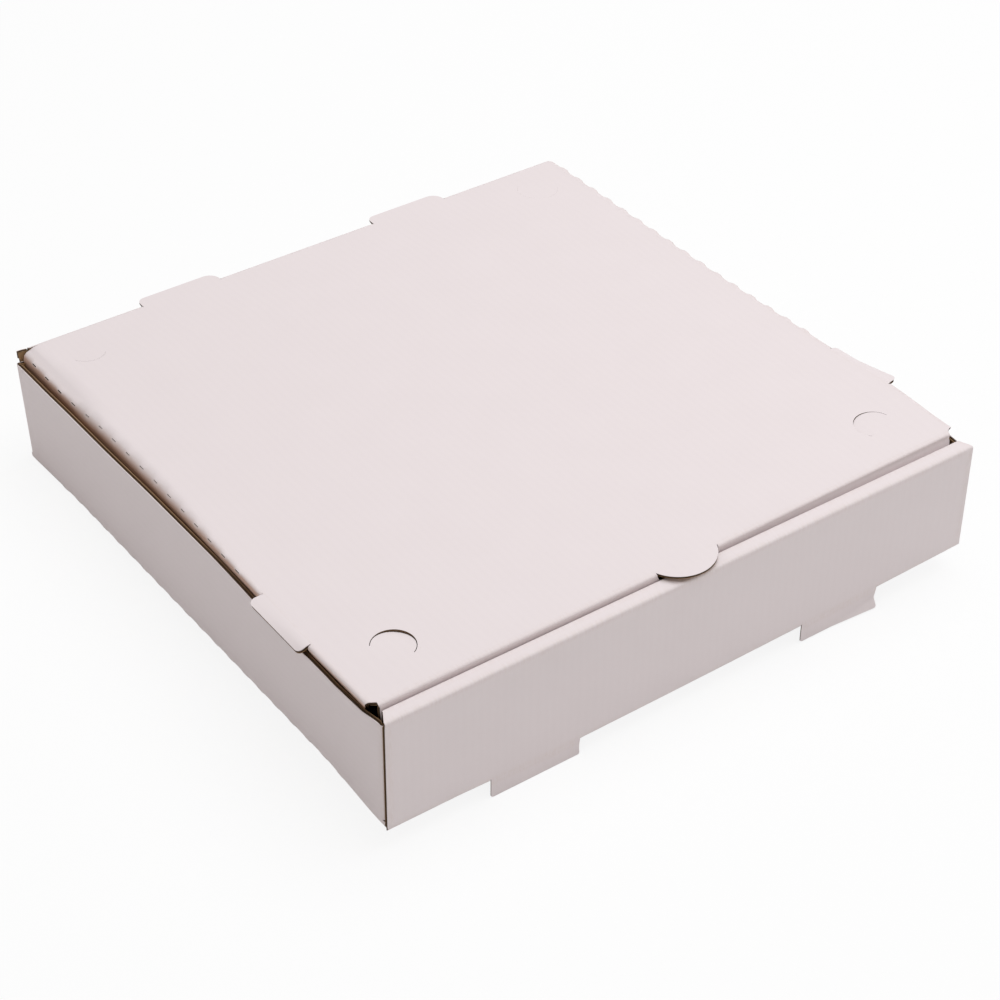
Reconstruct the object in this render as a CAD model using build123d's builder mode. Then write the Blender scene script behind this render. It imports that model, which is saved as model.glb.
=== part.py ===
from build123d import *
import os
from math import cos, hypot, radians, sin

# Pizza box folded from one die-cut blank of fluted board. The tray and the lid are the two
# halves of the blank, which meet at the crease along the top of the back wall.
# Millimetres, +Z up, front towards -Y, origin under the middle of the tray's floor.

# Board and folds
board = 1.6               # thickness of the fluted board
crease_radius = 0.6       # inside radius of a pressed crease, across the flutes
score_radius = 2.0        # inside radius of a perforated fold, along the flutes
lap_gap = 0.5             # room between layers that lie against each other

# Tray
tray_width = 258.0        # outside, over the side walls
tray_depth = 252.0        # outside, front face to back face
front_height = 46.0       # underside of the floor to the top of the rolled-over front wall
side_height = 43.5        # underside of the floor to the raw top edge of a side wall
back_run = 2.0            # top of the leaning back wall behind its foot
inner_side_gap = 1.0      # rolled-over panel to each side wall
corner_flap_length = 50.0
corner_flap_taper = 5.0   # drop of a corner flap's top edge along its length
corner_flap_round = 6.0

# Lock tabs, cut from the floor and left in the plane of the front wall
lock_offset = 68.5        # middle of the box to the middle of a tab
lock_width = 37.5
lock_drop = 9.8
lock_round = 1.2
tongue_gap = 1.5          # tongue of the rolled-over panel to the ends of its opening

# Lid
lid_height = 48.5         # underside of the floor to the top of the closed lid
lid_side_gap = 0.8        # side flap to side wall
tuck_gap = 0.6            # tuck flap to rolled-over panel
hinge_gap = 0.5           # crushed board in the hinge crease
tuck_length = 36.0
tuck_lean = 5.0           # degrees inwards, so that the tip swings clear of the front wall
tuck_round = 12.0
tuck_side_gap = 1.5       # tuck flap's ends to the outer faces of the side flaps
side_flap_length = 32.0
side_flap_lean = 4.0      # degrees inwards
side_flap_bevel = 14.0    # slant of a side flap's two ends
corner_relief = 4.0       # side folds stop this far short of the hinge and of the front fold

# Tabs that stay in the plane of the lid and leave notches in its flaps and in the back wall
thumb_width = 24.0        # along the front fold
thumb_reach = 7.8         # front fold to the tip
rest_tab_width = 31.0
rest_tab_setback = 59.5   # front face of the tray to the middle of a tab
rest_tab_reach = 5.2      # past the outside of the side wall
rest_tab_round = 4.0
rear_tab_width = 35.0
rear_tab_offset = 54.0    # middle of the box to the middle of a tab
rear_tab_reach = 4.0      # past the outside of the back wall's top
rear_tab_round = 4.0

# Vents, cut as horseshoes that open towards the lid's corners
vent_radius = 8.5
vent_slit = 0.5
vent_sweep = 210.0
vent_from_side = 19.6     # lid's side to the middle of a vent
vent_from_front = 21.5    # front fold to the middle of a vent
vent_from_back = 15.7     # hinge crease to the middle of a vent

# Perforations of the folds that run along the flutes
slit_length = 3.0
slit_width = 0.6
slit_pitch = 10.2
lid_slits = 16
lid_slits_middle = 38.0   # middle of the row, behind the middle of the tray
floor_slits = 20

# Worked out from the sizes above
mid = board / 2
half_width = tray_width / 2
half_depth = tray_depth / 2
crease_outside = crease_radius + board
score_outside = score_radius + board
roll_depth = 3 * board + 2 * lap_gap
roll_face = -half_depth + roll_depth
corner_flap_face = half_depth - board - lap_gap
roll_half = half_width - board - inner_side_gap
back_face = half_depth + back_run
hinge_y = back_face - mid
hinge_z = lid_height - mid
lid_half = half_width - board - lid_side_gap
panel_half = lid_half - score_outside
tuck_face = roll_face + tuck_gap
panel_front = tuck_face + corner_relief
panel_back = half_depth - mid - corner_relief
panel_under = lid_height - board
rest_tab_y = -half_depth + rest_tab_setback


with BuildPart() as tray:
    # Front and back: one section of the board, from the foot of the rolled-over panel,
    # over the front wall and under the floor to the top of the back wall
    with BuildSketch(Plane.YZ):
        with BuildLine():
            FilletPolyline(
                (roll_face - mid, board + lap_gap),
                (roll_face - mid, front_height - mid),
                (-half_depth + mid, front_height - mid),
                (-half_depth + mid, mid),
                (half_depth - mid, mid),
                (back_face - mid, lid_height - board * back_run / lid_height),
                radius=crease_radius + mid,
            )
        trace(line_width=board)
    extrude(amount=half_width, both=True)

    # The floor of that section stops where the rounded side folds begin
    with BuildSketch(Plane.XY):
        with Locations((-half_width, 0), (half_width, 0)):
            Rectangle(2 * score_outside, 2 * (half_depth - crease_outside))
    extrude(amount=crease_outside, mode=Mode.SUBTRACT)

    # The rolled-over panel is narrower than the front wall, so its ends taper in across the top
    with BuildSketch(Plane.XY.offset(crease_outside)):
        Polygon(
            (half_width, -half_depth + board),
            (roll_half, roll_face - board),
            (roll_half, roll_face + board),
            (half_width + board, roll_face + board),
            (half_width + board, -half_depth + board),
            align=None,
        )
        mirror(about=Plane.YZ)
    extrude(amount=front_height, mode=Mode.SUBTRACT)

    # Floor and side walls, with wide perforated folds
    with BuildSketch(Plane.XZ):
        with BuildLine():
            FilletPolyline(
                (-half_width + mid, side_height),
                (-half_width + mid, mid),
                (half_width - mid, mid),
                (half_width - mid, side_height),
                radius=score_radius + mid,
            )
        trace(line_width=board)
    extrude(amount=corner_flap_face - crease_outside, both=True)

    # The side walls turn the corners
    with BuildSketch(Plane.XY.offset(score_outside)):
        with BuildLine():
            FilletPolyline(
                (-half_width + 2 * crease_outside, -corner_flap_face + mid),
                (-half_width + mid, -corner_flap_face + mid),
                (-half_width + mid, corner_flap_face - mid),
                (-half_width + 2 * crease_outside, corner_flap_face - mid),
                radius=crease_radius + mid,
            )
        trace(line_width=board)
        mirror(about=Plane.YZ)
    extrude(amount=side_height - score_outside)

    # Corner flaps: the front pair lies inside the rolled-over wall, the back pair on the back wall
    for flap_front in (-corner_flap_face, corner_flap_face - board):
        with BuildSketch(Plane.XZ.offset(-flap_front)) as corner_flaps:
            Polygon(
                (-half_width + crease_outside, score_outside),
                (-half_width + corner_flap_length, score_outside),
                (-half_width + corner_flap_length, side_height - corner_flap_taper),
                (-half_width + crease_outside, side_height),
                align=None,
            )
            fillet(corner_flaps.vertices().group_by(Axis.X)[-1], radius=corner_flap_round)
            mirror(about=Plane.YZ)
        extrude(amount=-board)

    # Openings that the lock tabs leave in the floor and its front fold
    with BuildSketch(Plane.XY):
        with Locations((-lock_offset, -half_depth), (lock_offset, -half_depth)):
            Rectangle(lock_width, 2 * lock_drop)
    extrude(amount=crease_outside, mode=Mode.SUBTRACT)

    # Lock tabs, in the plane of the front wall
    with BuildSketch(Plane.XZ.offset(half_depth)) as lock_tabs:
        with Locations((-lock_offset, crease_outside), (lock_offset, crease_outside)):
            Rectangle(lock_width, lock_drop + crease_outside, align=(Align.CENTER, Align.MAX))
        fillet(lock_tabs.vertices().group_by(Axis.Z)[0], radius=lock_round)
    extrude(amount=-board)

    # Tongues of the rolled-over panel, which drop into the same openings
    with BuildSketch(Plane.XZ.offset(-roll_face)):
        with Locations((-lock_offset, 0), (lock_offset, 0)):
            Rectangle(
                lock_width - 2 * tongue_gap,
                board + crease_outside,
                align=(Align.CENTER, Align.MIN),
            )
    extrude(amount=board)

    # The back wall stops short of the hinge crease, and stands up past the crease's two ends
    with BuildSketch(Plane.XZ.offset(-back_face)):
        with Locations((0, lid_height)):
            Rectangle(2 * (panel_half + lap_gap), 2 * (board + hinge_gap))
    extrude(amount=board + back_run, mode=Mode.SUBTRACT)

    # Notches that the lid's rear tabs leave in the back wall, clear of the tabs as they swing
    rear_tab_sweep = hypot(rear_tab_reach + mid, mid) + lap_gap
    with BuildSketch(Plane.XZ.offset(-back_face)):
        with Locations((-rear_tab_offset, hinge_z), (rear_tab_offset, hinge_z)):
            Rectangle(rear_tab_width + 2 * lap_gap, 2 * rear_tab_sweep)
    extrude(amount=board + back_run, mode=Mode.SUBTRACT)

    # Perforations of the floor's side folds, cut along the bisector of each fold
    for side in (-1, 1):
        fold = Plane(origin=(side * half_width, 0, 0), x_dir=(0, 1, 0), z_dir=(-side, 0, 1))
        with BuildSketch(fold):
            with GridLocations(slit_pitch, slit_pitch, floor_slits, 1):
                Rectangle(slit_length, slit_width)
        extrude(amount=score_outside + board, mode=Mode.SUBTRACT)

tray.part.label = "tray"


with BuildPart() as lid:
    # Panel and side flaps: one section of the board
    flap_run = side_flap_length * sin(radians(side_flap_lean))
    flap_foot = lid_height - side_flap_length * cos(radians(side_flap_lean))
    with BuildSketch(Plane.XZ.offset(-panel_back)):
        with BuildLine():
            FilletPolyline(
                (-lid_half + mid + flap_run, flap_foot),
                (-lid_half + mid, hinge_z),
                (lid_half - mid, hinge_z),
                (lid_half - mid - flap_run, flap_foot),
                radius=score_radius + mid,
            )
        trace(line_width=board)
    extrude(amount=panel_back - panel_front)

    # Slanted ends of the side flaps
    flap_top = lid_height - score_outside
    with BuildSketch(Plane.YZ):
        for end, inwards in ((panel_front, 1), (panel_back, -1)):
            Polygon(
                (end, flap_top),
                (end + inwards * side_flap_bevel, flap_foot - board),
                (end, flap_foot - board),
                align=None,
            )
    extrude(amount=tray_width, both=True, mode=Mode.SUBTRACT)

    # Tuck flap, folded down behind the front wall
    tuck_run = tuck_length * sin(radians(tuck_lean))
    tuck_foot = lid_height - tuck_length * cos(radians(tuck_lean))
    with BuildSketch(Plane.YZ):
        with BuildLine():
            FilletPolyline(
                (panel_front, hinge_z),
                (tuck_face + mid, hinge_z),
                (tuck_face + mid + tuck_run, tuck_foot),
                radius=crease_radius + mid,
            )
        trace(line_width=board)
    extrude(amount=lid_half - tuck_side_gap, both=True)
    tuck_tip = lid.faces().sort_by(Axis.Z)[0]
    fillet(tuck_tip.edges().sort_by(SortBy.LENGTH)[:2], radius=tuck_round)

    # Notches that the thumb tab and the rest tabs leave in the flaps
    thumb_radius = ((thumb_width / 2) ** 2 + thumb_reach**2) / (2 * thumb_reach)
    thumb_centre = thumb_reach - thumb_radius
    with BuildSketch(Plane.XZ.offset(-panel_front)):
        with Locations((0, lid_height - thumb_centre)):
            Circle(thumb_radius)
    extrude(amount=corner_relief, mode=Mode.SUBTRACT)
    rest_tab_length = half_width + rest_tab_reach - lid_half
    with BuildSketch(Plane.YZ):
        with Locations((rest_tab_y, lid_height)):
            RectangleRounded(rest_tab_width, 2 * rest_tab_length, rest_tab_round)
    extrude(amount=tray_width, both=True, mode=Mode.SUBTRACT)

    # The flat panel with its thumb, rest and rear tabs
    with BuildSketch(Plane.XY.offset(panel_under)):
        with Locations((0, panel_front)):
            Rectangle(2 * panel_half, hinge_y - panel_front, align=(Align.CENTER, Align.MIN))
        with Locations((0, rest_tab_y)):
            RectangleRounded(tray_width + 2 * rest_tab_reach, rest_tab_width, rest_tab_round)
        rear_tab_y = back_face - rear_tab_round
        with Locations((-rear_tab_offset, rear_tab_y), (rear_tab_offset, rear_tab_y)):
            RectangleRounded(
                rear_tab_width, 2 * (rear_tab_reach + rear_tab_round), rear_tab_round
            )
        with Locations((0, tuck_face - thumb_centre)):
            Circle(thumb_radius)
    extrude(amount=board)

    # Rounded back edge, on the line that the lid turns about
    with BuildSketch(Plane.YZ):
        with Locations((hinge_y, hinge_z)):
            Circle(mid)
    extrude(amount=panel_half, both=True)

    # Vents in the four corners
    vent_x = lid_half - vent_from_side
    vent_rows = ((tuck_face + vent_from_front, -1), (half_depth - vent_from_back, 1))
    with BuildSketch(Plane.XY.offset(lid_height)):
        for vent_y, towards_back in vent_rows:
            away_from_corner = -45 * towards_back
            arc = CenterArc(
                (-vent_x, vent_y),
                vent_radius,
                away_from_corner - vent_sweep / 2,
                vent_sweep,
                mode=Mode.PRIVATE,
            )
            SlotArc(arc, vent_slit)
        mirror(about=Plane.YZ)
    extrude(amount=-board, mode=Mode.SUBTRACT)

    # Perforations of the side folds, from the rest tabs to the back
    for side in (-1, 1):
        down_flap = Vector(-side * sin(radians(side_flap_lean)), 0, -cos(radians(side_flap_lean)))
        fold = Plane(
            origin=(side * lid_half, lid_slits_middle, lid_height),
            x_dir=(0, 1, 0),
            z_dir=Vector(-side, 0, 0) + down_flap,
        )
        with BuildSketch(fold):
            with GridLocations(slit_pitch, slit_pitch, lid_slits, 1):
                Rectangle(slit_length, slit_width)
        extrude(amount=score_outside + board, mode=Mode.SUBTRACT)

lid.part.label = "lid"


os.makedirs("parts", exist_ok=True)
export_step(tray.part, "parts/tray.step")
export_step(lid.part, "parts/lid.step")
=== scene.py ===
from math import atan2, ceil, cos, exp, pi, radians, sin, sqrt, tan

import bmesh
import bpy
from mathutils import Matrix, Vector


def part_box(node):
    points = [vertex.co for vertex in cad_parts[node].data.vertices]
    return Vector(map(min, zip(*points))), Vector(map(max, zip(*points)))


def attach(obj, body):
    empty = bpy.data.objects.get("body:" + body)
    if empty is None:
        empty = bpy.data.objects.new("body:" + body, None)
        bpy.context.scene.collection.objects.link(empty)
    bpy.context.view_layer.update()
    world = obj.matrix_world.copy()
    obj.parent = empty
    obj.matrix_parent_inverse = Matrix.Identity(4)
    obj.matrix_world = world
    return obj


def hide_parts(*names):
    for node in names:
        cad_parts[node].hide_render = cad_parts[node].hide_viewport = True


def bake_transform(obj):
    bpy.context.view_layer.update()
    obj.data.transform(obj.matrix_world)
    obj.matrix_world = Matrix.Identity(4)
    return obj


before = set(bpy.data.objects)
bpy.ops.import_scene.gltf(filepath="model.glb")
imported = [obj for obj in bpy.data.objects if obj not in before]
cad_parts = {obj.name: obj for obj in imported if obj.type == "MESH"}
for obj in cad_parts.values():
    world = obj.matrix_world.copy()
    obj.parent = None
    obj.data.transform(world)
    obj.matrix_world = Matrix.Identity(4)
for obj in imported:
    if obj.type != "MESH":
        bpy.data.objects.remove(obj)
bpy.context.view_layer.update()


# Tray
# The lower half of the die-cut blank: floor, back wall, side walls with their corner flaps, and a front
# wall that rolls over on itself. It is fine corrugated board, clay-coated white outside and brown kraft
# inside, and holds together by its folds and by two tongues through the floor behind the lock tabs.
mm = 0.001
board = 1.6 * mm
liner = 0.25 * mm
flute_pitch = 3.4 * mm
flute_paper = 0.2 * mm
flute_depth = 0.8 * mm
edge_recess = 0.7 * mm
press_width = 2.5 * mm
crease_radius = 1.0 * mm
hinge_radius = 1.8 * mm
corner_radius = 1.4 * mm
slack_radius = 3.8 * mm
right_slack_radius = 2.4 * mm
lap_gap = 0.5 * mm
flap_gap = 0.3 * mm
kerf = 0.3 * mm

tray_low, tray_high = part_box("tray")
half_width = tray_high.x
half_depth = 126.0 * mm
back_run = tray_high.y - half_depth
back_shift = -2.4 * mm
lid_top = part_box("lid")[1].z
lock_drop = -tray_low.z
front_height = 46.0 * mm
front_lap = 6.0 * mm
lap_slope = radians(6)
front_sag = 3.3 * mm
side_height = 43.5 * mm
left_bow = 0.7 * mm
left_front_bow = 1.4 * mm
left_rear_bow = 0.4 * mm
right_front_bow = 1.0 * mm
lock_offset = 68.5 * mm
lock_width = 37.5 * mm
lock_tabs = [(-lock_offset, lock_width), (69.1 * mm, 36.3 * mm)]
lock_round = 1.2 * mm
lock_bow = 0.5 * mm
lock_wedge = 4.5 * mm
lock_wedge_curl = 1.8 * mm
right_lock_share = 0.93
tongue_gap = 1.5 * mm
corner_flap_length = 50.0 * mm
corner_flap_taper = 5.0 * mm
rear_tab_offset = 54.0 * mm
rear_tab_width = 35.0 * mm
rear_tab_notch = 5.4 * mm
slit_length = 2.6 * mm
slit_width = 0.18 * mm
slit_pitch = 10.2 * mm
floor_slits = 20
floor_nub = 0.25 * mm


def smooth(low, high, value):
    """0 at low, 1 at high, with an even ramp between."""
    t = min(max((value - low) / (high - low), 0), 1)
    return t * t * (3 - 2 * t)


def bend_length(radius, turn=pi / 2):
    """Length of flat board, along its middle, that a fold of this outside radius takes up."""
    return (radius - board / 2) * turn


def die_line(corners, steps=6):
    """Closed cutting line through corners given as (u, v, radius), each rounded by an arc."""
    line = []
    for i, (u, v, radius) in enumerate(corners):
        corner = Vector((u, v))
        if radius == 0:
            line.append(corner)
            continue
        to_last = (Vector(corners[i - 1][:2]) - corner).normalized()
        to_next = (Vector(corners[(i + 1) % len(corners)][:2]) - corner).normalized()
        half_angle = to_last.angle(to_next) / 2
        centre = corner + (to_last + to_next).normalized() * radius / sin(half_angle)
        spoke = corner + to_last * radius / tan(half_angle) - centre
        turn = (pi - 2 * half_angle) * (1 if to_last.cross(to_next) < 0 else -1)
        for step in range(steps + 1):
            line.append(centre + Matrix.Rotation(turn * step / steps, 2) @ spoke)
    return line


def join_halves(right_half, left_half):
    """Whole outline from its two halves, each listed on the right side from the back to the front."""
    return right_half + [(-u, v, radius) for u, v, radius in reversed(left_half)]


def tab_cut(middle, root, tip, width, radius):
    """Kerf round a tab along v that stays in its panel's plane when the board beside it folds."""
    side = 1 if tip > root else -1
    half = width / 2
    outer = [
        (middle - half - kerf, root, 0),
        (middle - half - kerf, tip + side * kerf, radius + kerf),
        (middle + half + kerf, tip + side * kerf, radius + kerf),
        (middle + half + kerf, root, 0),
    ]
    inner = [
        (middle + half, root, 0),
        (middle + half, tip, radius),
        (middle - half, tip, radius),
        (middle - half, root, 0),
    ]
    return die_line(outer + inner)


def in_tab(beyond_root, off_middle, reach, width, radius):
    """Whether a point is on a tab of this reach and width, whose two free corners are rounded."""
    past = max(beyond_root - reach + radius, 0)
    aside = max(abs(off_middle) - width / 2 + radius, 0)
    return past**2 + aside**2 <= (radius + kerf / 2) ** 2


def edge_press(inside, least):
    """Share of its thickness that the die leaves a tab, by the distance inside the tab's free edge."""
    return least + (1 - least) * smooth(0, press_width, inside)


def tab_press(beyond_root, off_middle, reach, width, least):
    """Share of its thickness that the die leaves a straight tab, by the place on the tab."""
    return edge_press(min(reach - beyond_root, width / 2 - abs(off_middle)), least)


def slit_cut(u, v, size_u, size_v):
    """Short straight perforation."""
    corners = ((-1, -1), (1, -1), (1, 1), (-1, 1))
    return [Vector((u + a * size_u / 2, v + b * size_v / 2)) for a, b in corners]


def steps_between(low, high, step):
    """Even places from low to high, no further apart than step."""
    count = ceil((high - low) / step)
    return [low + (high - low) * i / count for i in range(count + 1)]


def flute_ribbon(bm, line, into):
    """The board's wavy middle sheet along a die line; into is 1 where the board is inside it, -1 outside."""
    area = sum(a.cross(b) for a, b in zip(line, line[1:] + line[:1]))
    path = []
    for a, b in zip(line, line[1:] + line[:1]):
        run = b - a
        inwards = Vector((-run.y, run.x)).normalized() * (into if area > 0 else -into)
        pieces = max(ceil(abs(run.x) / (flute_pitch / 8)), ceil(run.length / (1.5 * mm)))
        path += [(a + run * i / pieces, inwards) for i in range(pieces)]
    swing = board / 2 - liner - flute_paper / 2
    rim = []
    for point, inwards in path:
        height = -board / 2 + swing * sin(2 * pi * point.x / flute_pitch) - flute_paper / 2
        rim.append(bm.verts.new((*(point + inwards * liner / 3), height)))
    edges = [bm.edges.new((a, b)) for a, b in zip(rim, rim[1:] + rim[:1])]
    ribbon = bmesh.ops.extrude_edge_only(bm, edges=edges)["geom"]
    inner_rim = [item for item in ribbon if isinstance(item, bmesh.types.BMVert)]
    for vert, (point, inwards) in zip(inner_rim, path):
        vert.co.xy += inwards * flute_depth
    faces = [item for item in ribbon if isinstance(item, bmesh.types.BMFace)]
    made = bmesh.ops.extrude_face_region(bm, geom=faces, use_keep_orig=True)["geom"]
    upper = [item for item in made if isinstance(item, bmesh.types.BMVert)]
    bmesh.ops.translate(bm, verts=upper, vec=(0, 0, flute_paper))


def cut_board(outline, kerfs, slits, cuts_u, cuts_v):
    """Flat board inside the die lines, white liner up at z = 0, with the fluting in its cut edges."""
    bm = bmesh.new()
    fine = bm.edges.layers.int.new("fine_slit")
    for line, is_fine in [(outline, 0)] + [(line, 0) for line in kerfs] + [(line, 1) for line in slits]:
        corners = [bm.verts.new((*point, 0)) for point in line]
        for a, b in zip(corners, corners[1:] + corners[:1]):
            bm.edges.new((a, b))[fine] = is_fine
    bmesh.ops.triangle_fill(bm, edges=bm.edges[:], use_beauty=True, normal=(0, 0, 1))
    for cuts, across in ((cuts_u, Vector((1, 0, 0))), (cuts_v, Vector((0, 1, 0)))):
        for place in cuts:
            everything = bm.verts[:] + bm.edges[:] + bm.faces[:]
            cut = bmesh.ops.bisect_plane(
                bm, geom=everything, dist=1e-7, plane_co=across * place, plane_no=across
            )
            for item in cut["geom_cut"]:
                if isinstance(item, bmesh.types.BMEdge):
                    item.seam = True
    bmesh.ops.dissolve_limit(
        bm, angle_limit=radians(0.5), verts=bm.verts[:], edges=bm.edges[:], delimit={"SEAM"}
    )
    for edge in bm.edges:
        edge.seam = False

    thick = bmesh.ops.extrude_face_region(bm, geom=bm.faces[:], use_keep_orig=True)["geom"]
    under = [item for item in thick if isinstance(item, bmesh.types.BMVert)]
    bmesh.ops.translate(bm, verts=under, vec=(0, 0, -board))
    bmesh.ops.recalc_face_normals(bm, faces=bm.faces[:])
    raw_edges = []
    for face in bm.faces:
        height = face.calc_center_median().z
        if height > -liner:
            face.material_index = 0
        elif height < liner - board:
            face.material_index = 1
        else:
            face.material_index = 2
            if not any(edge[fine] for edge in face.edges):
                raw_edges.append(face)
    rims = bmesh.ops.inset_region(
        bm, faces=raw_edges, thickness=liner, use_even_offset=True, use_boundary=True
    )
    for face in rims["faces"]:
        face.material_index = 0 if face.calc_center_median().z > -board / 2 else 1
    walls = bmesh.ops.inset_region(
        bm, faces=raw_edges, thickness=liner / 20, depth=-edge_recess, use_boundary=True
    )
    for face in walls["faces"]:
        face.material_index = 2
    before = set(bm.faces)
    flute_ribbon(bm, outline, 1)
    for line in kerfs:
        flute_ribbon(bm, line, -1)
    fluting = [face for face in bm.faces if face not in before]
    bmesh.ops.recalc_face_normals(bm, faces=fluting)
    for face in fluting:
        face.material_index = 2
    return bm


def along_section(distance, height, folds):
    """Place across and up of a point on board bent, and pressed thin, at folds of (start, radius, turn)."""
    place = Vector((0, 0))
    heading = 0.0
    done = 0.0
    for start, radius, turn in folds:
        length = bend_length(radius, turn)
        pressed = min(0.9 * radius / board, 1)
        off_fold = max(start - distance, distance - start - length)
        height *= pressed + (1 - pressed) * smooth(0, board, off_fold)
        if distance <= start:
            continue
        place += (start - done) * Vector((cos(heading), -sin(heading)))
        used = min(distance - start, length)
        centre = place - radius * Vector((sin(heading), cos(heading)))
        heading += turn * used / length
        place = centre + radius * Vector((sin(heading), cos(heading)))
        done = start + used
    place += (distance - done) * Vector((cos(heading), -sin(heading)))
    return place + height * Vector((sin(heading), cos(heading)))


def fold_cuts(start, radius, turn=pi / 2):
    """Places where the board is divided so that it can bend, and thin towards the bend."""
    end = start + bend_length(radius, turn)
    within = steps_between(start, end, (end - start) / 5)
    return [start - board, start - board / 2, *within, end + board / 2, end + board]


def nub(along, across, middles):
    """How proud a fold stands, 0 to 1, by its slits' middles; across is 0 to 1 over the fold."""
    nearest = min(abs(along - middle) for middle in middles)
    return smooth(3.0 * mm, 1.0 * mm, nearest) * sin(pi * min(max(across, 0), 1)) ** 2


def fold_board(bm, fold, wear, paint_shade=None, upwards=False):
    """Folds flat board into place, and keeps each point's flat place, its coating's wear and its painted
    shade.
    """
    blank = bm.verts.layers.float_vector.new("blank")
    crease = bm.verts.layers.float.new("crease")
    painted_shade = bm.verts.layers.float.new("painted_shade")
    for vert in bm.verts:
        flat = vert.co.copy()
        vert[blank] = flat
        vert[crease] = wear(flat)
        vert.co = fold(flat)
        # painted shade: how far this point's paper is darkened towards its painted shade colour
        vert[painted_shade] = paint_shade(flat, vert.co) if paint_shade else 0.0
    if upwards:
        bmesh.ops.reverse_faces(bm, faces=bm.faces[:])


def board_piece(name, bm, materials):
    """Object from a folded board."""
    mesh = bpy.data.meshes.new(name)
    bm.to_mesh(mesh)
    bm.free()
    mesh.shade_smooth()
    mesh.set_sharp_from_angle(angle=radians(35))
    for material in materials:
        mesh.materials.append(material)
    piece = bpy.data.objects.new(name, mesh)
    bpy.context.scene.collection.objects.link(piece)
    return piece


def add_node(tree, kind, inputs=None, **settings):
    """Node in a tree, with its settings and what feeds its inputs."""
    node = tree.nodes.new(kind)
    for setting, value in settings.items():
        setattr(node, setting, value)
    for socket, value in (inputs or {}).items():
        if isinstance(value, bpy.types.NodeSocket):
            tree.links.new(value, node.inputs[socket])
        else:
            node.inputs[socket].default_value = value
    return node


def make_paper_grain():
    """Node group for what every paper shows: fluting lines, fibres, cloudy tone, specks and worn creases,
    and the painted shade.
    """
    group = bpy.data.node_groups.new("paper_grain", "ShaderNodeTree")
    outputs = ("Flutes", "Fibres", "Clouds", "Specks", "Crease", "PaintedShade")
    for output in outputs:
        group.interface.new_socket(output, in_out="OUTPUT", socket_type="NodeSocketFloat")
    flat = add_node(group, "ShaderNodeAttribute", attribute_name="blank").outputs["Vector"]
    scaled = add_node(
        group, "ShaderNodeVectorMath", {0: flat, "Scale": 1 / mm}, operation="SCALE"
    ).outputs["Vector"]
    drift = add_node(
        group, "ShaderNodeTexNoise", {"Vector": scaled, "Scale": 0.03, "Detail": 1.0}
    ).outputs["Fac"]
    u = add_node(group, "ShaderNodeSeparateXYZ", {"Vector": scaled}).outputs["X"]
    turn = add_node(
        group, "ShaderNodeMath", {0: u, 1: 2 * pi * mm / flute_pitch}, operation="MULTIPLY"
    ).outputs[0]
    phase = add_node(
        group, "ShaderNodeMath", {0: drift, 1: 2.5, 2: turn}, operation="MULTIPLY_ADD"
    ).outputs[0]
    wave = add_node(group, "ShaderNodeMath", {0: phase}, operation="SINE").outputs[0]
    flutes = add_node(
        group, "ShaderNodeMapRange", {"Value": wave, "From Min": -1.0, "From Max": 1.0}
    ).outputs[0]
    stretched = add_node(
        group, "ShaderNodeMapping", {"Vector": scaled, "Scale": (1.0, 0.22, 1.0)}
    ).outputs["Vector"]
    fibres = add_node(
        group, "ShaderNodeTexNoise", {"Vector": stretched, "Scale": 1.3, "Detail": 4.0, "Roughness": 0.65}
    ).outputs["Fac"]
    clouds = add_node(
        group, "ShaderNodeTexNoise", {"Vector": scaled, "Scale": 0.045, "Detail": 3.0, "Roughness": 0.55}
    ).outputs["Fac"]
    grains = add_node(
        group, "ShaderNodeTexNoise", {"Vector": scaled, "Scale": 0.9, "Detail": 2.0}
    ).outputs["Fac"]
    specks = add_node(
        group, "ShaderNodeMapRange", {"Value": grains, "From Min": 0.68, "From Max": 0.74}
    ).outputs[0]
    worn = add_node(group, "ShaderNodeAttribute", attribute_name="crease").outputs["Fac"]
    patchy = add_node(
        group, "ShaderNodeMapRange", {"Value": fibres, "From Min": 0.35, "From Max": 0.65}
    ).outputs[0]
    crease = add_node(group, "ShaderNodeMath", {0: worn, 1: patchy}, operation="MULTIPLY").outputs[0]
    # painted shade, read from the points of the board
    painted_shade = add_node(group, "ShaderNodeAttribute", attribute_name="painted_shade").outputs["Fac"]
    result = group.nodes.new("NodeGroupOutput")
    for output, socket in zip(outputs, (flutes, fibres, clouds, specks, crease, painted_shade)):
        group.links.new(socket, result.inputs[output])
    return group


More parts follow.
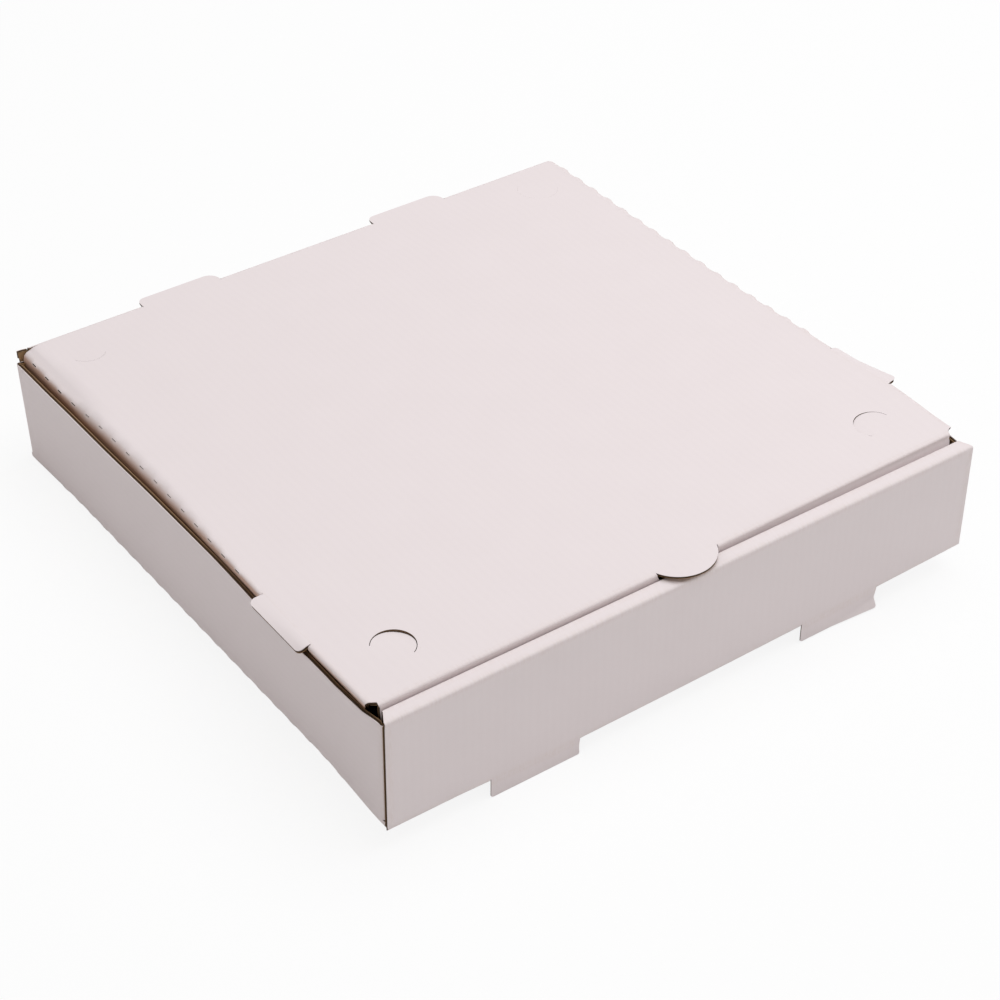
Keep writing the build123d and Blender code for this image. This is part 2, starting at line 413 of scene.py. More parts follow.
def make_paper(name, pale, deep, bare, painted_shade_colour, shares, roughness, relief):
    """One paper of the board. Shares give how far clouds, flutes, fibres and specks take pale to deep;
    bare is its colour on a worn crease, and the painted shade colour is painted shade and bounce light where
    the side flaps run down past the walls and on the back wall's standing ends."""
    material = bpy.data.materials.new(name)
    material.use_nodes = True
    tree = material.node_tree
    shader = tree.nodes["Principled BSDF"]
    grain = add_node(tree, "ShaderNodeGroup", node_tree=paper_grain).outputs
    shade = 0.0
    for output, share in zip(("Clouds", "Flutes", "Fibres", "Specks"), shares):
        summed = add_node(
            tree, "ShaderNodeMath", {0: grain[output], 1: share, 2: shade}, operation="MULTIPLY_ADD"
        )
        shade = summed.outputs[0]
    paper = add_node(tree, "ShaderNodeMix", {0: shade, 6: (*pale, 1), 7: (*deep, 1)}, data_type="RGBA")
    worn = add_node(
        tree, "ShaderNodeMix", {0: grain["Crease"], 6: paper.outputs[2], 7: (*bare, 1)}, data_type="RGBA"
    )
    # painted shade: the paper mixed towards its painted shade colour
    painted_shade = add_node(
        tree, "ShaderNodeMix", {0: grain["PaintedShade"], 6: worn.outputs[2], 7: (*painted_shade_colour, 1)}, data_type="RGBA"
    )
    tree.links.new(painted_shade.outputs[2], shader.inputs["Base Color"])
    rough = add_node(
        tree, "ShaderNodeMapRange", {0: grain["Fibres"], 3: roughness - 0.08, 4: roughness + 0.08}
    )
    tree.links.new(rough.outputs[0], shader.inputs["Roughness"])
    ripple = add_node(
        tree, "ShaderNodeMath", {0: grain["Flutes"], 1: 2.0, 2: grain["Fibres"]}, operation="MULTIPLY_ADD"
    )
    bump = add_node(
        tree, "ShaderNodeBump", {"Height": ripple.outputs[0], "Strength": relief, "Distance": 0.1 * mm}
    )
    tree.links.new(bump.outputs[0], shader.inputs["Normal"])
    shader.inputs["Specular IOR Level"].default_value = 0.25
    return material


paper_grain = make_paper_grain()
white_liner = make_paper(
    "white_liner",
    pale=(0.845, 0.765, 0.772),
    deep=(0.765, 0.685, 0.690),
    bare=(0.79, 0.70, 0.69),
    # painted shade: brown shade and bounce light on the side flaps where they run down past the kraft walls
    painted_shade_colour=(0.55, 0.34, 0.25),
    shares=(0.3, 0.06, 0.2, 0.05),
    roughness=0.6,
    relief=0.03,
)
kraft_liner = make_paper(
    "kraft_liner",
    pale=(0.42, 0.26, 0.135),
    deep=(0.27, 0.155, 0.075),
    bare=(0.34, 0.20, 0.10),
    # painted shade: the dark brown of the back wall's standing ends and of the flaps' kraft side in the gap
    # by the walls
    painted_shade_colour=(0.13, 0.09, 0.045),
    shares=(0.4, 0.2, 0.45, 0.5),
    roughness=0.72,
    relief=0.3,
)
fluting_paper = make_paper(
    "fluting_paper",
    pale=(0.19, 0.12, 0.07),
    deep=(0.10, 0.06, 0.035),
    bare=(0.12, 0.075, 0.04),
    # painted shade colour, the same as the worn colour here
    painted_shade_colour=(0.12, 0.075, 0.04),
    shares=(0.4, 0.0, 0.5, 0.4),
    roughness=0.8,
    relief=0.2,
)
board_papers = (white_liner, kraft_liner, fluting_paper)

floor_u = half_width - slack_radius
relief_u = half_width - corner_radius - lap_gap
floor_v = half_depth - crease_radius
side_flat = floor_u + bend_length(slack_radius)
side_top = half_width - corner_radius + bend_length(corner_radius) + side_height - corner_radius
side_end = half_depth - board - flap_gap
flap_fold = side_end - crease_radius
flap_flat = flap_fold + bend_length(crease_radius)
flap_end = flap_flat + corner_flap_length - crease_radius
wall_flat = floor_v + bend_length(crease_radius)
wall_foot = wall_flat - crease_radius
back_half = half_width - board
back_top = wall_foot + lid_top - hinge_radius
ear_inside = half_width - 5.0 * mm
ear_outside = half_width - 1.0 * mm
left_ear = (wall_foot + side_height + 0.8 * mm, wall_foot + lid_top - 1.2 * mm)
right_ear = (wall_foot + 41.5 * mm, wall_foot + 42.3 * mm)
front_top = wall_foot + front_height - crease_radius
lap_flat = front_top + bend_length(crease_radius, pi / 2 - lap_slope)
lap_end = lap_flat + front_lap - 2 * crease_radius
inner_flat = lap_end + bend_length(crease_radius, pi / 2 + lap_slope)
inner_foot = inner_flat + front_height - crease_radius - board - lap_gap
tongue_end = inner_foot + board + lap_gap
lap_half = half_width - 2.6 * mm
notch_in = rear_tab_offset - rear_tab_width / 2 - lap_gap
notch_out = rear_tab_offset + rear_tab_width / 2 + lap_gap
notch_foot = wall_foot + lid_top - board / 2 - rear_tab_notch
tongue_in = lock_offset - lock_width / 2 + tongue_gap
tongue_out = lock_offset + lock_width / 2 - tongue_gap
lock_tip = wall_foot - lock_drop


def tray_half(ear_foot, ear_top):
    """Right half of the tray's outline, from the hinge crease round to the tongue."""
    return [
        (notch_in, back_top, 0),
        (notch_in, notch_foot, 0.8 * mm),
        (notch_out, notch_foot, 0.8 * mm),
        (notch_out, back_top, 0),
        (ear_inside, back_top, 0),
        (ear_inside, ear_top, 0.1 * mm),
        (ear_outside, ear_top, 0.1 * mm),
        (ear_outside, ear_foot, 0),
        (back_half, ear_foot, 0),
        (back_half, floor_v, 0),
        (relief_u, floor_v, 0),
        (relief_u, side_end, 0),
        (side_flat, side_end, 0),
        (side_flat, flap_fold, 0),
        (side_flat + lap_gap, flap_fold, 0),
        (side_flat + corner_flap_taper, flap_end, 6 * mm),
        (side_top - corner_flap_taper, flap_end, 6 * mm),
        (side_top, flap_flat, 0),
        (side_top, -flap_flat, 0),
        (side_top - corner_flap_taper, -flap_end, 6 * mm),
        (side_flat + corner_flap_taper, -flap_end, 6 * mm),
        (side_flat + lap_gap, -flap_fold, 0),
        (side_flat, -flap_fold, 0),
        (side_flat, -side_end, 0),
        (relief_u, -side_end, 0),
        (relief_u, -floor_v, 0),
        (half_width, -floor_v, 0),
        (half_width, -front_top, 0),
        (lap_half, -inner_flat, 0),
        (lap_half, -inner_foot, 2 * mm),
        (tongue_out, -inner_foot, 0),
        (tongue_out, -tongue_end, 1 * mm),
        (tongue_in, -tongue_end, 1 * mm),
        (tongue_in, -inner_foot, 0),
    ]


tray_outline = die_line(join_halves(tray_half(*right_ear), tray_half(*left_ear)))
lock_cuts = [tab_cut(middle, -wall_flat, -lock_tip, width, lock_round) for middle, width in lock_tabs]
floor_slit_places = [(i - (floor_slits - 1) / 2) * slit_pitch for i in range(floor_slits)]
floor_slit_rows = []
for side in (-1, 1):
    for slit_v in floor_slit_places:
        floor_slit_rows.append(slit_cut(side * (floor_u + side_flat) / 2, slit_v, slit_width, slit_length))
side_cuts = steps_between(floor_u, side_flat, 0.3 * mm) + steps_between(side_flat, side_top, 9 * mm)[1:]
tray_cuts_u = steps_between(-floor_u, floor_u, 12 * mm)[1:-1] + side_cuts + [-u for u in side_cuts]
tray_cuts_u += [side * (lock_offset + lock_width * step / 8) for side in (-1, 1) for step in range(-3, 4)]
tray_cuts_u += [half_width - 20 * mm, half_width - 15 * mm, half_width - 10 * mm]
wall_cuts = fold_cuts(floor_v, crease_radius)
front_cuts = wall_cuts + steps_between(wall_flat, front_top, 9 * mm)[1:-1]
front_cuts += fold_cuts(front_top, crease_radius, pi / 2 - lap_slope)
front_cuts += fold_cuts(lap_end, crease_radius, pi / 2 + lap_slope)
front_cuts += steps_between(inner_flat, inner_foot, 9 * mm)[1:-1]
flap_cuts = fold_cuts(flap_fold, crease_radius)
tray_cuts_v = [v + step * mm for v in floor_slit_places for step in (-3, -2, -1, 1, 2, 3)]
tray_cuts_v += flap_cuts + [-v for v in flap_cuts]
tray_cuts_v += [-v for v in steps_between(lock_tip, wall_foot, 1.2 * mm)]
tray_cuts_v += wall_cuts + steps_between(wall_flat, back_top, 9 * mm)[1:] + [-v for v in front_cuts]


def side_fold_radius(side, v):
    """The perforated folds of the floor are soft: tight at the corners and slack between them."""
    slack = smooth(flap_fold, flap_fold - 40 * mm, abs(v))
    middle_radius = slack_radius if side < 0 else right_slack_radius
    return corner_radius + (middle_radius - corner_radius) * slack


def wall_bow(side, y):
    """How far the lid's flaps push the top of a side wall outwards."""
    front = smooth(-122 * mm, -106 * mm, y) * smooth(-15 * mm, -75 * mm, y)
    rear = smooth(20 * mm, 60 * mm, y) * smooth(120 * mm, 95 * mm, y)
    if side > 0:
        return right_front_bow * front
    return left_bow * smooth(-124 * mm, -114 * mm, y) + left_front_bow * front + left_rear_bow * rear


def sag(place):
    """How far the board hangs down along the front, which stands on the lock tabs alone."""
    along = 1 - ((place.x + 85 * mm) / (half_width + 85 * mm)) ** 2
    along *= 0.55 + 0.45 * smooth(-105 * mm, -60 * mm, place.x)
    fade = 1 - place.z / front_height if place.z > 0 else 1 + place.z / lock_drop
    return front_sag * max(along, 0) * smooth(-85 * mm, -122 * mm, place.y) * max(fade, 0)


def crease_shift(x):
    """How far the hinge crease is drawn to the left, between its two ends."""
    return back_shift * smooth(124 * mm, 100 * mm, abs(x))


def back_lean(place):
    """How far the back wall leans backwards and to the left, and the ends of the side walls with it."""
    run = back_run + 0.8 * mm * smooth(-122 * mm, -127 * mm, place.x)
    share = min(max(place.z / (lid_top - hinge_radius), 0), 1)
    shift = crease_shift(place.x) * smooth(118 * mm, 124 * mm, place.y)
    return share * Vector((shift, run * smooth(90 * mm, 118 * mm, place.y), 0))


def on_lock_tab(flat):
    """Whether a point of the blank is on a lock tab, which stays in the front wall's plane."""
    beyond_root = flat.y + wall_flat
    middle, width = lock_tabs[int(flat.x > 0)]
    return beyond_root > 0 and in_tab(beyond_root, flat.x - middle, wall_flat - lock_tip, width, lock_round)


def lock_curl(u, hang):
    """How far the right lock tab is bent at a depth below the floor: its outer half bows in, and the wedge
    below that curls outwards."""
    share = min(max((u - 66 * mm) / (20 * mm), 0), 1)
    if share == 0:
        return 0.0
    wedge = lock_wedge * share
    turn = right_lock_share * lock_drop - wedge
    if hang <= turn:
        return lock_bow * share * (hang / turn) ** 2
    return lock_bow * share - lock_wedge_curl * share * (hang - turn) / wedge


def fold_lock_tab(flat):
    """Place of a point of a lock tab, pressed thin at its ends by the die and drawn in at its right end."""
    middle, width = lock_tabs[int(flat.x > 0)]
    off_middle = flat.x - middle
    beyond_root = flat.y + wall_flat
    height = flat.z * tab_press(beyond_root, off_middle, wall_flat - lock_tip, width, 0.25)
    z = -wall_foot - flat.y
    if flat.x > 0 and z < 0:
        z *= right_lock_share
    hang = max(-z, 0)
    x = flat.x - 0.3 * mm * sin(pi * min(hang / lock_drop, 1)) * smooth(width / 4, width / 2, off_middle)
    return Vector((x, lock_curl(flat.x, hang) - half_depth - height, z))


def fold_tray(flat):
    """Place in the folded tray of a point on the flat blank."""
    u, v, height = flat
    side = 1 if u > 0 else -1
    end = 1 if v > 0 else -1
    if abs(u) > half_width + kerf or (abs(u) > floor_u and abs(v) < (side_end + floor_v) / 2):
        if abs(u) > side_flat + lap_gap / 2:
            across, height = along_section(abs(v), height, [(flap_fold, crease_radius, pi / 2)])
            v = end * across
        radius = side_fold_radius(side, v)
        start = half_width - radius
        proud = floor_nub * nub(v, (abs(u) - start) / bend_length(radius), floor_slit_places)
        across, up = along_section(abs(u), height + proud, [(start, radius, pi / 2)])
        place = Vector((side * across, v, -up))
        place.x += side * wall_bow(side, v) * place.z / side_height
    elif on_lock_tab(flat):
        place = fold_lock_tab(flat)
    elif v < -floor_v:
        turns = ((floor_v, pi / 2), (front_top, pi / 2 - lap_slope), (lap_end, pi / 2 + lap_slope))
        across, up = along_section(-v, height, [(start, crease_radius, turn) for start, turn in turns])
        place = Vector((u, -across, -up))
    else:
        across, up = along_section(abs(v), height, [(floor_v, crease_radius, pi / 2)])
        place = Vector((u, end * across, -up))
    place.z -= sag(place)
    place += back_lean(place)
    return place


def tray_wear(flat):
    """Wear of the coating along the tray's folds."""
    u, v = abs(flat.x), flat.y
    worn = 0.0
    middle_u = (floor_u + side_flat) / 2
    folds = ((u, middle_u), (abs(v), floor_v), (-v, front_top), (-v, lap_end), (abs(v), flap_fold))
    for place, fold in folds:
        worn = max(worn, exp(-(((place - fold) / (1.2 * mm)) ** 2)))
    return worn


def tray_painted_shade(flat, place):
    """Painted shade: the two ends of the back wall that stand up past the crease are darkened where shade
    falls on them.
    """
    return smooth(0, 1 * mm, flat.y - back_top) if abs(flat.x) > ear_inside - lap_gap else 0.0


tray_bm = cut_board(tray_outline, lock_cuts, floor_slit_rows, tray_cuts_u, tray_cuts_v)
fold_board(tray_bm, fold_tray, tray_wear, tray_painted_shade, upwards=True)
tray = board_piece("tray_board", tray_bm, board_papers)
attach(tray, "tray")
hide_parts("tray")


# Lid
# The upper half of the blank: the top panel with its four vents, a tuck flap with the thumb tab, two side
# flaps on perforated folds, and the tabs that rest on the walls. It is the same board as the tray, and
# the tabs are cut from the flaps, so they stay flat when the flaps fold down.
lid_low, lid_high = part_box("lid")
lid_half = 126.6 * mm
lid_radius = 1.8 * mm
lid_slack_radius = 4.8 * mm
right_lid_slack_radius = 3.0 * mm
panel_u = lid_half - lid_slack_radius
root_u = lid_half - lid_radius
panel_back = 121.2 * mm
panel_front = -115.6 * mm
tuck_face = -119.6 * mm
tuck_lean = radians(5)
tuck_length = 36.0 * mm
left_tuck_half = lid_half - 0.1 * mm
right_tuck_half = lid_half - 2.0 * mm
tuck_taper = 1.5 * mm
side_flap_turn = pi / 2 + radians(4)
side_flap_length = 32.0 * mm
side_flap_bevel = 14.0 * mm
spread_depth = 11.0 * mm
left_spread = 4.1 * mm
right_spread = 2.6 * mm
right_bulge = 1.2 * mm
rear_slope = 0.42
rear_slope_start = 119.0 * mm
rear_slope_round = 2.0 * mm
thumb_width = 26.0 * mm
rest_tab_v = -66.5 * mm
rest_tab_width = 31.0 * mm
rest_tab_round = 2.5 * mm
lid_slits = 16
lid_slits_middle = 41.3 * mm
left_nub = 0.3 * mm
right_nub = 0.6 * mm
vent_radius = 7.8 * mm
vent_sweep = radians(210)
vent_u = lid_half - 19.6 * mm
vent_front = -98.1 * mm
vent_back = 110.3 * mm

tuck_fold = -tuck_face - crease_radius
tuck_turn = pi / 2 + tuck_lean
tuck_flat = tuck_fold + bend_length(crease_radius, tuck_turn)
tuck_end = tuck_flat + tuck_length - crease_radius
flap_u = panel_u + bend_length(lid_slack_radius, side_flap_turn)
flap_u_end = flap_u + side_flap_length - lid_slack_radius
lid_back = half_depth + back_run - hinge_radius
rear_tab_tip = lid_high.y
rest_tab_tip = lid_high.x
thumb_reach = tuck_face - lid_low.y
thumb_radius = ((thumb_width / 2) ** 2 + thumb_reach**2) / (2 * thumb_reach)
thumb_v = lid_low.y + thumb_radius

arch_u = 123.6 * mm
arch_v = -117.5 * mm


def lid_half_outline(inner_round, outer_round, corner_u, tuck_half):
    """Right half of the lid's outline, by its rear tab's roundings, rear corner and tuck flap's width."""
    return [
        (rear_tab_offset - rear_tab_width / 2, lid_back, 0),
        (rear_tab_offset - rear_tab_width / 2, rear_tab_tip, inner_round),
        (rear_tab_offset + rear_tab_width / 2, rear_tab_tip, outer_round),
        (rear_tab_offset + rear_tab_width / 2, lid_back, 0),
        (corner_u, lid_back, 1.5 * mm),
        (flap_u + 2 * mm, panel_back, 3 * mm),
        (flap_u_end, panel_back - side_flap_bevel, 3 * mm),
        (flap_u_end, panel_front + side_flap_bevel, 3 * mm),
        (136.0 * mm, panel_front + 8.3 * mm, 4 * mm),
        (129.6 * mm, panel_front + 1.9 * mm, 3 * mm),
        (arch_u, arch_v, 1.0 * mm),
        (tuck_half, -tuck_fold - 0.2 * mm, 0.2 * mm),
        (tuck_half, -tuck_flat, 0),
        (tuck_half - tuck_taper, -tuck_end, 12 * mm),
    ]


def arc_cut(u, v, inside, outside, start, end, steps=28):
    """Curved kerf between two radii about a point, from one angle to another."""
    turns = [start + (end - start) * i / steps for i in range(steps + 1)]
    line = [Vector((u + outside * cos(turn), v + outside * sin(turn))) for turn in turns]
    return line + [Vector((u + inside * cos(turn), v + inside * sin(turn))) for turn in reversed(turns)]


def lid_spread(side, v):
    """How far the lid's side folds stand out over the walls, most of all before the rest tabs."""
    if side < 0:
        spread = left_spread * smooth(40 * mm, -90 * mm, v)
    else:
        bulge = smooth(-112 * mm, -84 * mm, v) * smooth(-60 * mm, -75 * mm, v)
        spread = right_spread * smooth(20 * mm, -105 * mm, v) + right_bulge * bulge
    return spread * smooth(-119.5 * mm, -116.5 * mm, v)


def lid_fold_radius(side, v):
    """The lid's side folds are creased tight in front, and perforated and slack behind the rest tabs."""
    slack = smooth(rest_tab_v + rest_tab_width / 2, 30 * mm, v)
    if side > 0:
        return lid_radius + (right_lid_slack_radius - lid_radius) * slack
    slack *= 0.13 + 0.87 * smooth(95 * mm, 75 * mm, v)
    return lid_radius + (lid_slack_radius - lid_radius) * slack


def rest_tip(side):
    """Where a rest tab ends on the flat blank."""
    return rest_tab_tip - lid_spread(side, rest_tab_v)


thumb_root = thumb_v + tuck_fold
thumb_kerf = 0.12 * mm
thumb_end = atan2(sqrt(thumb_radius**2 - thumb_root**2), thumb_root)
thumb_ends = (-pi / 2 - thumb_end, -pi / 2 + thumb_end)
thumb_cut = arc_cut(0, thumb_v, thumb_radius, thumb_radius + thumb_kerf, *thumb_ends)
rest_cuts = []
for side in (-1, 1):
    along_v = tab_cut(rest_tab_v, root_u, rest_tip(side), rest_tab_width, rest_tab_round)
    rest_cuts.append([Vector((side * point.y, point.x)) for point in along_v])
vents = [
    # middle, slit width, how far the flap is pushed in, and how far its slit is turned and swept
    (Vector((-vent_u, vent_front)), 0.25 * mm, 0.95 * mm, 0, vent_sweep),
    (Vector((vent_u - 0.7 * mm, vent_front - 0.6 * mm)), 0.15 * mm, 0.5 * mm, radians(-20), vent_sweep),
    (Vector((-vent_u + 1.2 * mm, vent_back + 2.2 * mm)), 0.05 * mm, 0.0 * mm, radians(-50), radians(110)),
    (Vector((vent_u, vent_back)), 0.02 * mm, 0.0 * mm, 0, vent_sweep),
]
lid_slit_rows = []
for middle, slit, push, turn, sweep in vents:
    facing = atan2(-middle.y, -middle.x) + turn
    ends = (facing - sweep / 2, facing + sweep / 2)
    lid_slit_rows.append(arc_cut(*middle, vent_radius - slit / 2, vent_radius + slit / 2, *ends))
lid_slit_places = [lid_slits_middle + (i - (lid_slits - 1) / 2) * slit_pitch for i in range(lid_slits)]
for side in (-1, 1):
    for slit_v in lid_slit_places:
        radius = lid_fold_radius(side, slit_v)
        slit_u = lid_half - radius + 0.5 * bend_length(radius, side_flap_turn)
        lid_slit_rows.append(slit_cut(side * slit_u, slit_v, slit_width, slit_length))
lid_side_cuts = steps_between(112 * mm, panel_u, 2.5 * mm)[:-1] + steps_between(panel_u, flap_u, 0.35 * mm)
lid_side_cuts += steps_between(flap_u, flap_u_end, 6 * mm)[1:]
lid_cuts_u = steps_between(-112 * mm, 112 * mm, 12 * mm)[1:-1] + lid_side_cuts + [-u for u in lid_side_cuts]
lid_cuts_v = steps_between(-tuck_fold, rest_tab_v + rest_tab_width / 2, 6 * mm)[1:-1]
lid_cuts_v += [v + step * mm for v in lid_slit_places for step in (-3, -2, -1, 1, 2, 3)]
lid_cuts_v += [-v for v in fold_cuts(tuck_fold, crease_radius, tuck_turn)]
lid_cuts_v += [-v for v in steps_between(tuck_flat, tuck_end, 9 * mm)[1:-1]]


def on_rest_tab(flat):
    """Whether a point of the blank is on a rest tab."""
    beyond_root = abs(flat.x) - root_u
    off_middle = flat.y - rest_tab_v
    reach = rest_tip(1 if flat.x > 0 else -1) - root_u
    return beyond_root > 0 and in_tab(beyond_root, off_middle, reach, rest_tab_width, rest_tab_round)


def on_thumb_tab(flat):
    """Whether a point of the blank is on the thumb tab."""
    return (flat.xy - Vector((0, thumb_v))).length <= thumb_radius + thumb_kerf / 2


def lid_dent(u, v):
    """How far the panel lies below its plane: the pushed vents, and the slope at its rear left."""
    dent = 0.0
    for middle, slit, push, turn, sweep in vents:
        away = Vector((u, v)) - middle
        if away.length < vent_radius:
            far_side = -away.dot(middle.normalized()) / vent_radius - cos(vent_sweep / 2)
            dent = push * (max(far_side, 0) / (1 - cos(vent_sweep / 2))) ** 2
    past = max(min(-u, flap_u) - rear_slope_start - 1.5 * mm * smooth(100 * mm, 122 * mm, v), 0)
    slope = rear_slope * smooth(60 * mm, 95 * mm, v)
    if past < rear_slope_round:
        return dent + slope * past**2 / (2 * rear_slope_round)
    return dent + slope * (past - rear_slope_round / 2)


def fold_lid(flat):
    """Place in the closed lid of a point on the flat blank."""
    u, v, height = flat
    side = 1 if u > 0 else -1
    spread = lid_spread(side, v)
    skew = 1.9 * mm * smooth(-20 * mm, 125 * mm, u) * smooth(-40 * mm, -115 * mm, v)
    if on_rest_tab(flat):
        reach = rest_tip(side) - root_u
        out = (abs(u) - root_u) / reach
        spread += (lid_spread(side, rest_tab_v) - spread) * min(out, 1)
        rearward = (v - rest_tab_v) / rest_tab_width + 0.5
        droop = (1.8 - 1.4 * rearward) * mm if side < 0 else (0.4 + 4.6 * rearward) * mm
        height *= tab_press(abs(u) - root_u, v - rest_tab_v, reach, rest_tab_width, 0.85)
        place = Vector((u, v, lid_top + height - droop * out**2))
        if side > 0:
            place.y += 1.6 * mm * (1 - rearward) * out
    elif on_thumb_tab(flat):
        height *= edge_press(thumb_radius - (flat.xy - Vector((0, thumb_v))).length, 0.55)
        place = Vector((u, v, lid_top + height))
    elif v < -tuck_fold:
        across, up = along_section(-v, height, [(tuck_fold, crease_radius, tuck_turn)])
        place = Vector((u, -across, lid_top + up))
        settled = smooth(1.5 * mm, 5 * mm, -up)
        skew += (-0.3 * mm - skew) * settled
    elif v < arch_v:
        place = Vector((u, v, lid_top + height))
    elif v > lid_back:
        off_middle = abs(u) - rear_tab_offset
        height *= tab_press(v - lid_back, off_middle, rear_tab_tip - lid_back, rear_tab_width, 0.4)
        place = Vector((u, v, lid_top + height))
    else:
        radius = lid_fold_radius(side, v)
        start = lid_half - radius
        proud = nub(v, (abs(u) - start) / bend_length(radius, side_flap_turn), lid_slit_places)
        proud *= left_nub if side < 0 else right_nub
        across, up = along_section(abs(u), height + proud, [(start, radius, side_flap_turn)])
        place = Vector((side * across, v, lid_top + min(up, 0)))
    shallow = min(max(1 - (lid_top - place.z) / spread_depth, 0), 1)
    place.x += side * spread * smooth(114 * mm, 124 * mm, abs(u)) * shallow
    place.x += crease_shift(u) * smooth(95 * mm, 122 * mm, v)
    place.y += skew
    place.z -= lid_dent(u, v)
    return place


def lid_painted_shade(flat, place):
    """Painted shade on the side flaps by their depth below the panel: brown shade and bounce light from the
    kraft walls where the flaps run down past them.
    """
    if abs(flat.x) < panel_u or flat.y < arch_v or on_rest_tab(flat):
        return 0.0
    radius = lid_fold_radius(1 if flat.x > 0 else -1, flat.y)
    slack = (radius - lid_radius) / (lid_slack_radius - lid_radius)
    depth = lid_top - place.z - lid_dent(flat.x, flat.y)
    before_rest_tab = smooth(rest_tab_v, rest_tab_v - rest_tab_width / 2, flat.y)
    first = (0.05 + 0.07 * slack) * radius + 0.4 * mm * before_rest_tab
    last = (0.55 + 0.3 * slack) * radius + 0.9 * mm * before_rest_tab
    return 0.9 * smooth(first, last, depth) * smooth(12 * mm, 6 * mm, depth)


def lid_wear(flat):
    """Wear of the coating along the lid's folds."""
    side_fold = exp(-(((abs(flat.x) - lid_half + 1.2 * mm) / (1.4 * mm)) ** 2))
    front_fold = exp(-(((-flat.y - tuck_fold) / (1.0 * mm)) ** 2))
    return 0.0 if on_rest_tab(flat) or on_thumb_tab(flat) else max(side_fold, front_fold)


lid_right_half = lid_half_outline(3 * mm, 5 * mm, lid_half - 1.0 * mm, right_tuck_half)
lid_left_half = lid_half_outline(5 * mm, 3 * mm, lid_half + 1.4 * mm, left_tuck_half)
lid_outline = die_line(join_halves(lid_right_half, lid_left_half))
lid_bm = cut_board(lid_outline, [thumb_cut] + rest_cuts, lid_slit_rows, lid_cuts_u, lid_cuts_v)
fold_board(lid_bm, fold_lid, lid_wear, lid_painted_shade)
lid = board_piece("lid_board", lid_bm, board_papers)
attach(lid, "lid")
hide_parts("lid")


# Hinge crease
# The pressed line along the top of the back wall where the blank bends into the lid, between the rear
# tabs. The board is crushed thin there, and bends again each time that the lid opens.
crease_spans = [
    (-ear_inside + kerf / 2, -notch_out + flap_gap),
    (-notch_in - flap_gap, notch_in + flap_gap),
    (notch_out - flap_gap, ear_inside - kerf / 2),
]
crease_length = bend_length(hinge_radius)
# The strip between these two rows is left whole, so that each point follows either the lid or the tray.
lid_share = 0.39 * crease_length
tray_share = 0.63 * crease_length


def fold_crease(flat):
    """Place of a point of the crease, which runs from the lid's panel down to the back wall."""
    across, up = along_section(flat.y, flat.z, [(0, hinge_radius, pi / 2)])
    return Vector((flat.x + crease_shift(flat.x), lid_back + across, lid_top + up))


def crease_wear(flat):
    """Wear of the coating over the crease."""
    return exp(-(((flat.y - crease_length / 2) / (1.0 * mm)) ** 2))


crease_bm = bmesh.new()
for low, high in crease_spans:
    rim = ((low, 0), (high, 0), (high, crease_length), (low, crease_length))
    crease_bm.faces.new([crease_bm.verts.new((u, v, 0)) for u, v in rim])
crease_rows = steps_between(0, lid_share, 0.2 * mm)[1:]
crease_rows += steps_between(tray_share, crease_length, 0.2 * mm)[:-1]
crease_cuts = [((0, place, 0), (0, 1, 0)) for place in crease_rows]
crease_cuts += [((place, 0, 0), (1, 0, 0)) for place in steps_between(-ear_inside, ear_inside, 4 * mm)]
for point, normal in crease_cuts:
    everything = crease_bm.verts[:] + crease_bm.edges[:] + crease_bm.faces[:]
    bmesh.ops.bisect_plane(crease_bm, geom=everything, dist=1e-7, plane_co=point, plane_no=normal)
thick = bmesh.ops.extrude_face_region(crease_bm, geom=crease_bm.faces[:], use_keep_orig=True)["geom"]
under = [item for item in thick if isinstance(item, bmesh.types.BMVert)]
bmesh.ops.translate(crease_bm, verts=under, vec=(0, 0, -board))
bmesh.ops.recalc_face_normals(crease_bm, faces=crease_bm.faces[:])
for face in crease_bm.faces:
    height = face.calc_center_median().z
    face.material_index = 0 if height > -liner else 1 if height < liner - board else 2
fold_board(crease_bm, fold_crease, crease_wear)
hinge = board_piece("hinge_crease", crease_bm, board_papers)
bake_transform(hinge)


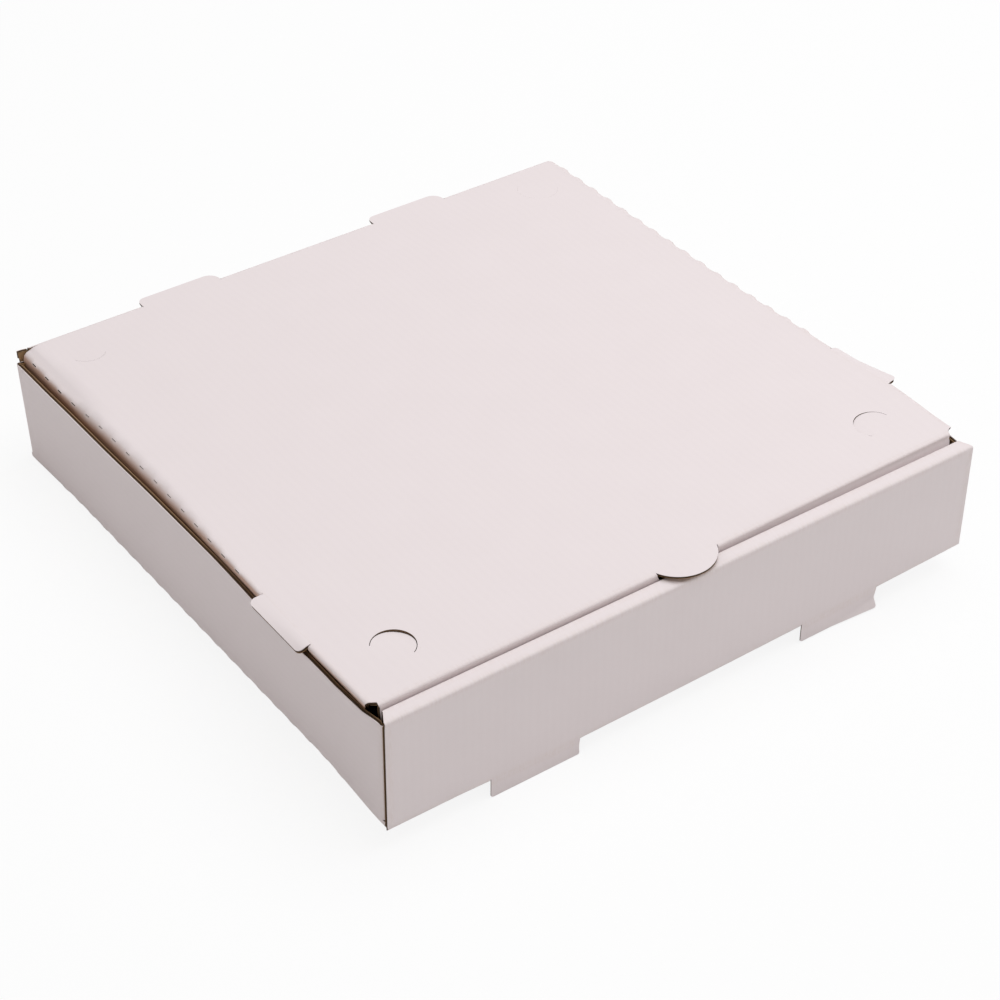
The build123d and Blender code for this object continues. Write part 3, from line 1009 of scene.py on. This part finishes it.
# Floor
# A plain white studio floor. The lock tabs hold the front of the box up, so the floor leans a little in
# front of the box's back edge to touch both that and the tabs, and is level behind it.
floor_mesh = bpy.data.meshes.new("floor")
floor_bm = bmesh.new()
bmesh.ops.create_grid(floor_bm, x_segments=1, y_segments=2, size=3.0)
floor_lean = Matrix.Rotation(lock_drop / (2 * half_depth), 4, "X")
bmesh.ops.transform(floor_bm, matrix=floor_lean, verts=[vert for vert in floor_bm.verts if vert.co.y < 0])
bmesh.ops.translate(floor_bm, verts=floor_bm.verts[:], vec=(0, half_depth, 0))
floor_bm.to_mesh(floor_mesh)
floor_bm.free()
floor = bpy.data.objects.new("floor", floor_mesh)
bpy.context.scene.collection.objects.link(floor)
floor_paint = bpy.data.materials.new("floor_paint")
floor_paint.use_nodes = True
paint = floor_paint.node_tree
paint.nodes.remove(paint.nodes["Principled BSDF"])
matt = add_node(paint, "ShaderNodeBsdfDiffuse", {"Color": (0.9, 0.9, 0.9, 1)})
glow = add_node(paint, "ShaderNodeEmission", {"Color": (1, 1, 1, 1), "Strength": 1.0})
path = add_node(paint, "ShaderNodeLightPath")
seen = add_node(paint, "ShaderNodeMath", {0: path.outputs["Is Camera Ray"], 1: 0.88}, operation="MULTIPLY")
mixed = add_node(paint, "ShaderNodeMixShader", {0: seen.outputs[0], 1: matt.outputs[0], 2: glow.outputs[0]})
paint.links.new(mixed.outputs[0], paint.nodes["Material Output"].inputs["Surface"])
floor_mesh.materials.append(floor_paint)


# Light
# Even studio light: a pale surround and one broad soft lamp overhead, a little to the front right.
world = bpy.data.worlds.new("studio")
world.use_nodes = True
world.node_tree.nodes["Background"].inputs["Color"].default_value = (1.0, 0.967, 0.935, 1)
world.node_tree.nodes["Background"].inputs["Strength"].default_value = 0.434
bpy.context.scene.world = world
lamp = bpy.data.lights.new("overhead", "AREA")
lamp.shape = "DISK"
lamp.size = 1.6
lamp.energy = 18.4
lamp.color = (0.953, 0.977, 1.0)
overhead = bpy.data.objects.new("overhead", lamp)
overhead.location = (0.45, -0.1, 1.5)
overhead.rotation_euler = (Vector((0, 0, 0)) - overhead.location).to_track_quat("-Z", "Y").to_euler()
bpy.context.scene.collection.objects.link(overhead)


# Camera
# Stands where the photograph was taken from: to the front left of the box and above it.
lens = bpy.data.cameras.new("camera")
lens.sensor_width = 36.0
lens.lens = 90.05
camera = bpy.data.objects.new("camera", lens)
camera.location = (-0.44509, -0.62008, 0.58406)
aim = Vector((-0.01398, -0.02911, 0.024))
roll = radians(0.5)
level_view = (aim - camera.location).to_track_quat("-Z", "Y").to_matrix()
camera.rotation_euler = (level_view @ Matrix.Rotation(roll, 3, "Z")).to_euler()
bpy.context.scene.collection.objects.link(camera)
bpy.context.scene.camera = camera
bpy.context.scene.view_settings.view_transform = "Standard"
